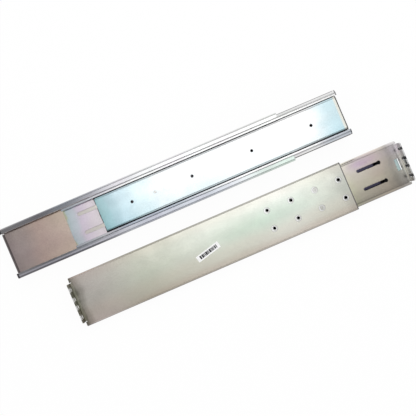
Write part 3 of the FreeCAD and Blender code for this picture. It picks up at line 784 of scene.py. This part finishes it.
@dataclass
class Studio:
    """Pale table, a tent of light with a soft box, and a camera that looks almost straight down."""

    camera_height: float = 1200.0
    view_degrees: float = 30.33
    view_reach: float = 120000.0
    rail_rise_degrees: float = 23.2
    lean_degrees: float = 2.0
    aim_x: float = -0.7
    aim_y: float = 0.3
    table_size: float = 60000.0
    # The table lies a hair lower than the rails' feet
    table_drop: float = 0.2
    table_colour: str = "#FDFDFD"
    # Share of the table that shines by itself in view, which keeps it white with a faint shadow
    table_glow: float = 0.95
    # Light of the tent near the horizon, and in the dimmer ring between the walls and the soft box
    tent_level: float = 0.8
    ring_level: float = 0.42
    # The ring's outer border, by the height of a direction from 0 at the horizon to 1 overhead
    ring_starts: float = 0.66
    ring_full: float = 0.84
    # The soft box by its direction from straight up, its half widths and its soft border
    box_x: float = 0.075
    box_y: float = 0.06
    box_half_x: float = 0.172
    box_half_y: float = 0.115
    box_border: float = 0.03
    box_level: float = 1.4
    # Lowest direction that can be in the soft box, which keeps it out of the mirrored lower half
    box_lowest: float = 0.1
    lamp_x: float = 320.0
    lamp_y: float = 480.0
    lamp_height: float = 1600.0
    lamp_size: float = 1400.0
    lamp_watts: float = 11.0

    def build(self) -> None:
        """Make the camera, the table, the tent and the lamp."""
        self.camera()
        self.table()
        self.world()
        self.lamp()
        bpy.context.scene.view_settings.view_transform = "Standard"

    def camera(self) -> None:
        """Camera over the pair, a little nearer the rear ends, turned so that the rails rise."""
        aim = Vector((metres(self.aim_x), metres(self.aim_y), 0.0))
        aside = self.camera_height * math.tan(math.radians(self.lean_degrees))
        place = aim + Vector((-metres(aside), 0.0, metres(self.camera_height)))
        back = (place - aim).normalized()
        right = Vector((0.0, 1.0, 0.0)).cross(back).normalized()
        level = Matrix((right, back.cross(right), back)).transposed()
        turned = level @ Matrix.Rotation(-math.radians(self.rail_rise_degrees), 3, "Z")
        data = bpy.data.cameras.new("camera")
        data.angle = math.radians(self.view_degrees)
        data.clip_end = metres(self.view_reach)
        camera = bpy.data.objects.new("camera", data)
        camera.matrix_world = Matrix.Translation(place) @ turned.to_4x4()
        bpy.context.scene.collection.objects.link(camera)
        bpy.context.scene.camera = camera
        log.info("camera stands at %.0f mm", self.camera_height)

    def table(self) -> None:
        """White table top, which isn't part of the object."""
        half = metres(self.table_size) / 2
        data = bpy.data.meshes.new("table")
        data.from_pydata([(-half, -half, 0), (half, -half, 0), (half, half, 0), (-half, half, 0)],
                         [], [(0, 1, 2, 3)])
        table = bpy.data.objects.new("table", data)
        table.location.z = -metres(self.table_drop)
        bpy.context.scene.collection.objects.link(table)
        data.materials.append(self.table_paper())

    def table_paper(self) -> bpy.types.Material:
        """White paper, which shines a little where it is seen or mirrored.

        Returns:
            The material.
        """
        material = bpy.data.materials.new("paper_white_matt")
        material.use_nodes = True
        tree = material.node_tree
        tree.nodes.clear()
        path = add_node(tree, "ShaderNodeLightPath", {}, {})
        seen = path.outputs["Is Camera Ray"]
        for kind in ("Is Glossy Ray", "Is Transmission Ray"):
            seen = add_node(tree, "ShaderNodeMath", {"operation": "MAXIMUM"}, {
                0: seen, 1: path.outputs[kind]}).outputs[0]
        share = add_node(tree, "ShaderNodeMath", {"operation": "MULTIPLY"}, {
            0: seen, 1: self.table_glow})
        paper = add_node(tree, "ShaderNodeBsdfDiffuse", {}, {"Color": linear(self.table_colour)})
        glow = add_node(tree, "ShaderNodeEmission", {}, {"Color": linear(WHITE), "Strength": 1.0})
        both = add_node(tree, "ShaderNodeMixShader", {}, {
            0: share.outputs[0], 1: paper.outputs[0], 2: glow.outputs[0]})
        add_node(tree, "ShaderNodeOutputMaterial", {}, {"Surface": both.outputs[0]})
        return material

    def world(self) -> None:
        """Tent of light: bright walls, a dimmer ring above them and the soft box overhead."""
        world = bpy.data.worlds.new("light_tent")
        bpy.context.scene.world = world
        world.use_nodes = True
        tree = world.node_tree
        tree.nodes.clear()
        ray = add_node(tree, "ShaderNodeTexCoord", {}, {}).outputs["Generated"]
        height = add_node(tree, "ShaderNodeSeparateXYZ", {}, {0: ray}).outputs["Z"]
        tent = add_node(tree, "ShaderNodeMapRange", SMOOTH, {
            "Value": height, "From Min": self.ring_starts, "From Max": self.ring_full,
            "To Min": self.tent_level, "To Max": self.ring_level})
        level = add_node(tree, "ShaderNodeMix", {"data_type": "FLOAT"}, {
            MIX_FACTOR: self.soft_box(tree, ray, height), MIX_FLOAT_A: tent.outputs[0],
            MIX_FLOAT_B: self.box_level})
        light = add_node(tree, "ShaderNodeBackground", {}, {
            "Color": linear(WHITE), "Strength": level.outputs[0]})
        add_node(tree, "ShaderNodeOutputWorld", {}, {"Surface": light.outputs[0]})

    def soft_box(self, tree: Tree, ray: Socket, height: Socket) -> Socket:
        """Where the soft box stands in the sky.

        Args:
            tree: Node tree of the world.
            ray: Direction that is looked at.
            height: Its height, from 0 at the horizon to 1 overhead.

        Returns:
            One inside the soft box and zero outside it.
        """
        flat = add_node(tree, "ShaderNodeVectorMath", {"operation": "DIVIDE"}, {0: ray, 1: height})
        aside = add_node(tree, "ShaderNodeVectorMath", {"operation": "SUBTRACT"}, {
            0: flat.outputs[0], 1: (self.box_x, self.box_y, 0.0)})
        away = add_node(tree, "ShaderNodeVectorMath", {"operation": "ABSOLUTE"}, {
            0: aside.outputs[0]})
        axes = add_node(tree, "ShaderNodeSeparateXYZ", {}, {0: away.outputs[0]})
        share = add_node(tree, "ShaderNodeMath", {"operation": "GREATER_THAN"}, {
            0: height, 1: self.box_lowest}).outputs[0]
        for axis, half in (("X", self.box_half_x), ("Y", self.box_half_y)):
            inside = add_node(tree, "ShaderNodeMapRange", SMOOTH, {
                "Value": axes.outputs[axis], "From Min": half - self.box_border,
                "From Max": half + self.box_border, "To Min": 1.0, "To Max": 0.0})
            share = add_node(tree, "ShaderNodeMath", {"operation": "MULTIPLY"}, {
                0: share, 1: inside.outputs[0]}).outputs[0]
        return share

    def lamp(self) -> None:
        """Broad lamp overhead for paper, nylon and table. The metal mirrors the tent instead."""
        data = bpy.data.lights.new("broad_lamp", "AREA")
        data.shape = "DISK"
        data.size = metres(self.lamp_size)
        data.energy = self.lamp_watts
        lamp = bpy.data.objects.new("broad_lamp", data)
        lamp.location = (metres(self.lamp_x), metres(self.lamp_y), metres(self.lamp_height))
        lamp.rotation_euler = (-lamp.location).to_track_quat("-Z", "Y").to_euler()
        lamp.visible_glossy = False
        bpy.context.scene.collection.objects.link(lamp)


def painted_hole_marks(colour: str, half: float, *flange: Fade) -> tuple[TintZone, ...]:
    """Marks of painted light at the four rack holes of rail b's flange: glints where the tint is
    light, shade where it is dark.

    Args:
        colour: Tint of the marks.
        half: Half of a mark's height along Y.
        flange: Borders of the flange.

    Returns:
        One stain for each hole.
    """
    middles = [RAIL_B_MIDDLE + hole for hole in RACK_HOLES]
    return tuple(fixed_tint(colour, 1.0, *flange, *band(Axis.Y, y - half, y + half, MARK_RIM))
                 for y in middles)


def upper_rail() -> RailFinishes:
    """Finishes of the rail whose server side lies up.

    Returns:
        The finishes.
    """
    # The lower lip of the sleeve and of the front rail, and the left part of the sleeve's lips
    sleeve_lip = (Fade(Axis.Y, 38, 30), Fade(Axis.Z, 32, 33))
    front_lip = (Fade(Axis.Y, 40, 32), Fade(Axis.Z, 32, 33))
    left_lips = (Fade(Axis.Z, 34, 35), Fade(Axis.X, -120, -175))
    # What the chassis rail covers of the front rail at rest
    covered = (Fade(Axis.X, -158.2, -156.8), Fade(Axis.X, 244.4, 243.8), Fade(Axis.Z, 34, 32))
    sleeve = PassivatedZinc(
        "iridescent_zinc_sleeve_a",
        # Darker towards the rear end: film tone and, in part, painted shade
        along=(Stop(-306, "#C0B4B4"), Stop(-285, "#D4C7C4"), Stop(-253, "#EAD5CB"),
               Stop(-210, "#F2E0D2"), Stop(-200, "#E8E6E2"), Stop(150, "#E8E6E2")),
        across=(Stop(14, "#FCF8F4"), Stop(53, "#FCF8F8"), Stop(93, "#FFFDF8")),
        # Lips darker towards the rear end: film tone and painted shade
        lips=(Stop(-306, "#A8A6A9"), Stop(-244, "#929196"), Stop(-198, "#A2A6AE"),
              Stop(-160, "#BCBCC4"), Stop(-110, "#E4E4E8"), Stop(-30, "#F6F6F8"),
              Stop(150, "#FAFAFA")),
        tint_zones=(
            TintZone("#D0D4DC", (*sleeve_lip, Fade(Axis.X, -170, -90), Fade(Axis.X, 115, 10)),
                  wanders=False),
            TintZone("#E2EFE9", (*sleeve_lip, Fade(Axis.X, 40, 110))),
            fixed_tint("#EFE3E0", 0.8, Fade(Axis.X, -120, -190), Fade(Axis.Z, 34, 35),
                    Fade(Axis.Y, 87, 86), Fade(Axis.Y, 70, 72)),
            # Painted shade in a dark line on the outer edge of the lower lip, towards the rear
            fixed_tint(EDGE_SHADE, 0.7, *band(Axis.Y, 15, 16.2, 0.9), *left_lips),
            fixed_tint("#DAD8E4", 0.7, *band(Axis.Y, 17.6, 19, 0.9), *left_lips),
            # Painted shade at the rear end, beside the flange
            fixed_tint(PAINTED_SHADE, 0.75, Fade(Axis.X, -302, -303.4))))
    front = PassivatedZinc(
        "iridescent_zinc_front_rail_a",
        along=(Stop(-208, "#DADCC0"), Stop(-205, "#DCEAF0"), Stop(-197, "#E4ECF5"),
               Stop(-187, "#F3E7F7"), Stop(-168, "#F6ECF4"), Stop(-156, "#E8E1E6"),
               Stop(246, "#E8E4E4")),
        across=(Stop(17, "#FCFCFC"), Stop(90, "#FCFCFC")),
        # Lips darker towards the rear end: film tone and painted shade
        lips=(Stop(-208, "#C6CCD4"), Stop(-150, "#D8D8DE"), Stop(-100, "#F4F4F6"),
              Stop(246, WHITE)),
        rim_share=0.4,
        tint_zones=(
            TintZone("#BCC4CE", (*front_lip, Fade(Axis.X, -160, -120), Fade(Axis.X, 70, -60))),
            TintZone("#D4DAE2", (*front_lip, Fade(Axis.X, 180, 214))),
            # Painted shade: a line where the chassis rail ends, a band behind its holes, both races
            # under the chassis rail, and the front end
            fixed_tint(PAINTED_SHADE, 1.0, *band(Axis.X, -156.8, -152, 1.4), *covered),
            fixed_tint(PAINTED_SHADE, 0.9, *band(Axis.Y, 51, 57, 3), *covered),
            fixed_tint(PAINTED_SHADE, 1.0, Fade(Axis.Y, 78, 80), *covered),
            fixed_tint(PAINTED_SHADE, 1.0, Fade(Axis.Y, 30, 28), *covered),
            fixed_tint(PAINTED_SHADE, 0.8, Fade(Axis.X, 245, 245.8))))
    chassis = PassivatedZinc(
        "blue_white_zinc_chassis_rail_a",
        # Bluish at both ends and white in the middle: film tone and, in part, the painted fall of
        # the soft box's reflection
        along=(Stop(-156, "#A8CCD0"), Stop(-146, "#B4D6DC"), Stop(-133, "#BED8E0"),
               Stop(-118, "#D0E6EE"), Stop(-90, "#E0F0F4"), Stop(-55, "#EEF2F4"),
               Stop(185, WHITE), Stop(230, "#DCF4FB")),
        across=(Stop(22, "#EAF4F7"), Stop(45, "#F8FCFD"), Stop(60, WHITE), Stop(86, WHITE)),
        tint_zones=(
            # A pale strip; painted shade at the front end, along the lower edge towards both ends,
            # and on the walls
            fixed_tint("#FBF9EE", 0.9, Fade(Axis.X, 236.5, 239.5)),
            fixed_tint(PAINTED_SHADE, 0.9, Fade(Axis.X, 241.2, 242.2)),
            fixed_tint(PAINTED_SHADE, 0.9, Fade(Axis.Y, 29.2, 28.2), Fade(Axis.X, 120, 225)),
            fixed_tint(PAINTED_SHADE, 0.9, Fade(Axis.Y, 29.2, 28.2), Fade(Axis.X, -60, -140)),
            fixed_tint(PAINTED_SHADE, 1.0, Fade(Axis.Z, 37.5, 36.8))),
        pink="#F4F2F6", green="#F2FAFA", cloud_share=0.16)
    return RailFinishes(Rail.SERVER_SIDE_UP, sleeve, front, chassis)


def lower_rail() -> RailFinishes:
    """Finishes of the rail whose rack side lies up.

    Returns:
        The finishes.
    """
    sleeve = PassivatedZinc(
        "iridescent_zinc_sleeve_b",
        # Dark beside the rear flange, a painted shadow; darker towards the front end, partly film
        # tone and partly painted fall of light
        along=(Stop(-240, "#8A887C"), Stop(-233, "#C8C0BA"), Stop(-223, "#EDE4E0"),
               Stop(-128, "#D9D9CE"), Stop(0, "#EAECE5"), Stop(110, "#F3F5F0"),
               Stop(190, "#ECEDE6"), Stop(209, "#DADAD4")),
        across=(Stop(-93, "#FCF6F2"), Stop(-77, "#FCF9F2"), Stop(-54, "#F8FCF7"),
                Stop(-37, "#FAFDF9"), Stop(-15, "#FEFBF7")),
        cloud_share=0.1, cloud_size=75.0, edge_radius=0.4,
        holes=tuple((x, y) for x in SINKS for y in RAIL_B_ROWS),
        tint_zones=(
            TintZone("#E4F4EC", oval(70, -50, 130, 26), 0.7),
            TintZone("#F6E8DE", (Fade(Axis.Y, -78, -90), Fade(Axis.X, -190, -130)), 0.4),
            # Painted shade along both long edges and at the front end step; painted glints at the
            # rear flange's rack holes
            fixed_tint(EDGE_SHADE, 0.7, Fade(Axis.Y, -91.8, -93)),
            fixed_tint(EDGE_SHADE, 0.5, Fade(Axis.Y, -16, -15)),
            fixed_tint(EDGE_SHADE, 0.8, Fade(Axis.X, 211.4, 212.4)),
            *painted_hole_marks(WHITE, 2.6, Fade(Axis.Z, 20, 21.5), Fade(Axis.X, -238, -239.5))))
    front = PassivatedZinc(
        "iridescent_zinc_front_rail_b",
        along=(Stop(209, "#E8E8DA"), Stop(233, "#E4E0D8"), Stop(269, "#E8E0D8"),
               Stop(280, "#DED8D2"), Stop(288, "#D0CCCA"), Stop(296, "#E2E0E2"),
               Stop(304, "#F0F0F2")),
        across=(Stop(-90, "#C4C0B8"), Stop(-76, "#DCD8CE"), Stop(-60, "#F2F0E4"),
                Stop(-44, "#F6F2EC"), Stop(-29, "#FFF8FC"), Stop(-17, "#FFFCFA")),
        tint_zones=(
            TintZone("#EEE4FC", oval(246, -28, 34, 14)),
            # Painted shade along the long edge towards -Y and in the flange's rack holes, and a
            # painted highlight over the flange
            fixed_tint(EDGE_SHADE, 0.6, Fade(Axis.Y, -88.6, -90)),
            fixed_tint(WHITE, 1.0, Fade(Axis.Z, 19, 20.5)),
            *painted_hole_marks("#3A3A3C", 1.4, Fade(Axis.Z, 21, 22.5), Fade(Axis.X, 303.5, 304))))
    # Painted shade on the chassis rail where it shows behind both rows: fainter at the slots, deep
    # at the holes
    smears = (("#4E4B60", Fade(Axis.X, 288, 280)), (PAINTED_SHADE, Fade(Axis.X, 224, 210)))
    chassis = PassivatedZinc(
        "blue_white_zinc_chassis_rail_b",
        along=(Stop(-96, "#C4DDE2"), Stop(-40, "#E6F2F6"), Stop(240, "#E6F2F6"),
               Stop(304, "#CFE4EA")),
        across=(Stop(-86, "#F2FAFE"), Stop(-22, "#FDFDFA")),
        tint_zones=tuple(fixed_tint(tint, 1.0, end, Fade(Axis.Z, 0.6, 1.2),
                             *band(Axis.Y, row - ROW_SHADE_HALF, row + ROW_SHADE_HALF, ROW_SHADE_RIM))
                     for row in RAIL_B_ROWS for tint, end in smears))
    return RailFinishes(Rail.RACK_SIDE_UP, sleeve, front, chassis)


def main() -> None:
    """Dress both rails, add the label and build the studio."""
    logging.basicConfig(level=logging.INFO, format="%(message)s")
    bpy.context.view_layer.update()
    Studio().build()
    upper_rail().dress()
    lower_rail().dress()
    CodeLabel().build()


if __name__ == "__main__":
    main()
